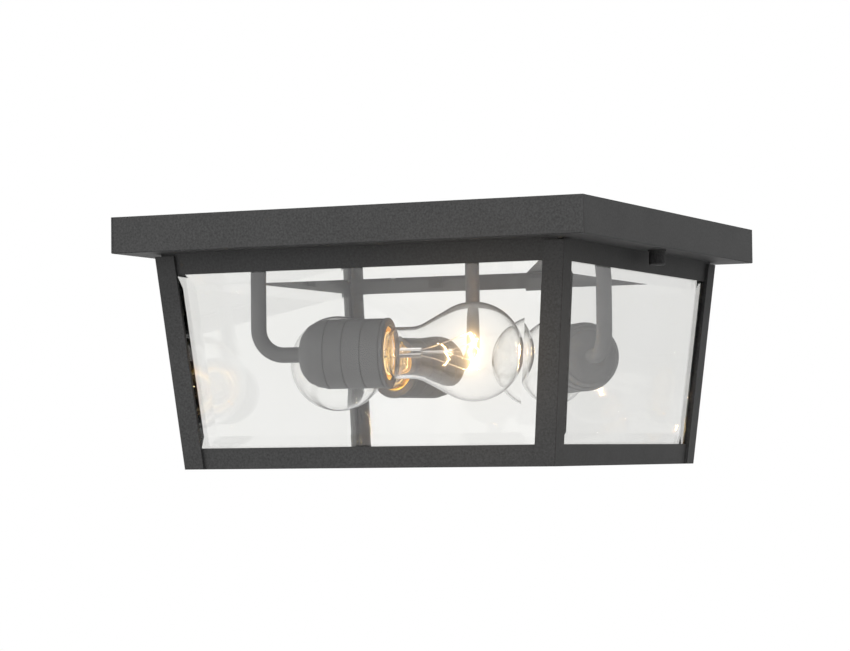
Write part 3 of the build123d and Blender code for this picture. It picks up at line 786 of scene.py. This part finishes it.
# Porch floor far below the light, and white studio surroundings
def lay_floor():
    shape = bmesh.new()
    level = Matrix.Translation((0, 0, FLOOR_LEVEL))
    bmesh.ops.create_circle(shape, cap_ends=True, segments=FLOOR_SIDES, radius=FLOOR_RADIUS, matrix=level)
    mesh = bpy.data.meshes.new("porch_floor")
    shape.to_mesh(mesh)
    shape.free()
    floor = bpy.data.objects.new("porch_floor", mesh)
    scene.collection.objects.link(floor)
    plaster = new_finish("pale_floor")
    clouds = plaster.noise(scale=3, detail=3.0, roughness=0.5)
    plaster.cover(
        base_color=plaster.ramp(clouds, [(0.3, (0.72, 0.72, 0.72)), (0.7, (0.76, 0.76, 0.76))]),
        roughness=0.8,
    )
    mesh.materials.append(plaster.owner)
    floor.visible_diffuse = False
    return plaster.owner


floor_finish = lay_floor()


def light_studio():
    """White surroundings: dimmer low down, and on the side away from the camera."""
    world = bpy.data.worlds.new("studio")
    scene.world = world
    studio = Finish(world)
    way = studio.node("ShaderNodeTexCoord", output="Generated")
    dot = {"operation": "DOT_PRODUCT"}
    aside = studio.node("ShaderNodeVectorMath", dot, {0: way, 1: FAR_SIDE}, "Value")
    rise = studio.node("ShaderNodeSeparateXYZ", {}, {"Vector": way}, "Z")
    side_fall = studio.fade(aside, start=0.3, end=0.9, low=0.0, high=0.3)
    low_fall = studio.fade(rise, start=-0.55, end=-0.2, low=0.75, high=0.0)
    seen = studio.node("ShaderNodeLightPath", output="Is Camera Ray")
    strength = seen + (1 - seen) * (STUDIO_STRENGTH - low_fall - side_fall)
    white = {"Color": (1, 1, 1, 1), "Strength": strength}
    studio.end("ShaderNodeOutputWorld", studio.node("ShaderNodeBackground", {}, white, "Background"))


light_studio()


# Softboxes, each one kept to what it is there for
def softbox(name, place, radiance):
    """A round diffuser that faces the light, and is itself not seen, nor through glass."""
    box = bpy.data.lights.new(name, "AREA")
    box.shape = "DISK"
    box.size = SOFTBOX_WIDTH
    area = pi * (SOFTBOX_WIDTH / 2) ** 2
    box.energy = radiance * pi * area
    lamp = bpy.data.objects.new(name, box)
    lamp.rotation_euler = place.to_track_quat("Z", "Y").to_euler()
    lamp.location = place
    lamp.visible_camera = lamp.visible_transmission = False
    scene.collection.objects.link(lamp)
    return lamp


def gather(name, wanted):
    """A group of pieces that a light is kept to, or that cast its shadows."""
    group = bpy.data.collections.new(name)
    for piece in scene.objects:
        if piece.type == "MESH" and wanted(piece):
            group.objects.link(piece)
    return group


def finished_in(*wanted):
    """A test of whether a piece has one of these finishes."""
    return lambda piece: piece.data.materials[0] in wanted


shadeless = finished_in(finishes["pane_glass"], finishes["bulb_glass"], finishes["filament"])
opaque = gather("opaque_pieces", lambda piece: not shadeless(piece))
lamp_metals = (finishes["socket_brass"], finishes["bulb_metal"], finishes["insulator"], nickel)
warmed = gather("warmed_pieces", finished_in(*lamp_metals))
inner = gather("inner_pieces", lambda piece: piece.name.startswith(("socket_cup", "arm_tube")))
coated = gather("coated_pieces", finished_in(finishes["powder_coat"], floor_finish))

overhead = softbox("overhead_softbox", OVERHEAD_PLACE, OVERHEAD_RADIANCE)
overhead.visible_glossy = False
overhead.light_linking.receiver_collection = coated

front = softbox("front_softbox", FRONT_PLACE, FRONT_RADIANCE)
front.visible_diffuse = False

inner_fill = softbox("inner_fill", FRONT_PLACE, INNER_RADIANCE)
inner_fill.visible_glossy = False
inner_fill.light_linking.receiver_collection = inner
inner_fill.light_linking.blocker_collection = opaque


def light_bulbs():
    """Warm light from each filament on its metals and socket, which glass and filaments don't shade."""
    for number, place in lamp_places.items():
        bulb = bpy.data.lights.new(f"bulb_light_{number}", "POINT")
        bulb.energy = BULB_LIGHT_POWER
        bulb.color = BULB_LIGHT_COLOUR
        bulb.shadow_soft_size = BULB_LIGHT_RADIUS
        lamp = bpy.data.objects.new(bulb.name, bulb)
        lamp.location = place @ Vector((0, 0, (GLOBE - FILAMENT_DIP / 2) * MM))
        lamp.visible_camera = lamp.visible_transmission = False
        lamp.light_linking.blocker_collection = opaque
        lamp.light_linking.receiver_collection = warmed
        scene.collection.objects.link(lamp)


light_bulbs()

# Picture settings: plain colours, enough bounces for glass behind glass, a soft bloom round the filaments
scene.view_settings.view_transform = "Standard"
scene.cycles.max_bounces = 32
scene.cycles.transmission_bounces = 28
scene.cycles.transparent_max_bounces = 16
scene.cycles.sample_clamp_indirect = 100.0


def bloom():
    scene.use_nodes = True
    tree = scene.node_tree
    tree.nodes.clear()
    picture = tree.nodes.new("CompositorNodeRLayers")
    glare = tree.nodes.new("CompositorNodeGlare")
    glare.glare_type = "BLOOM"
    glare.quality = "HIGH"
    glare.inputs["Threshold"].default_value = BLOOM_THRESHOLD
    glare.inputs["Strength"].default_value = BLOOM_STRENGTH
    glare.inputs["Size"].default_value = BLOOM_SIZE
    end = tree.nodes.new("CompositorNodeComposite")
    tree.links.new(picture.outputs["Image"], glare.inputs["Image"])
    tree.links.new(glare.outputs["Image"], end.inputs["Image"])


bloom()
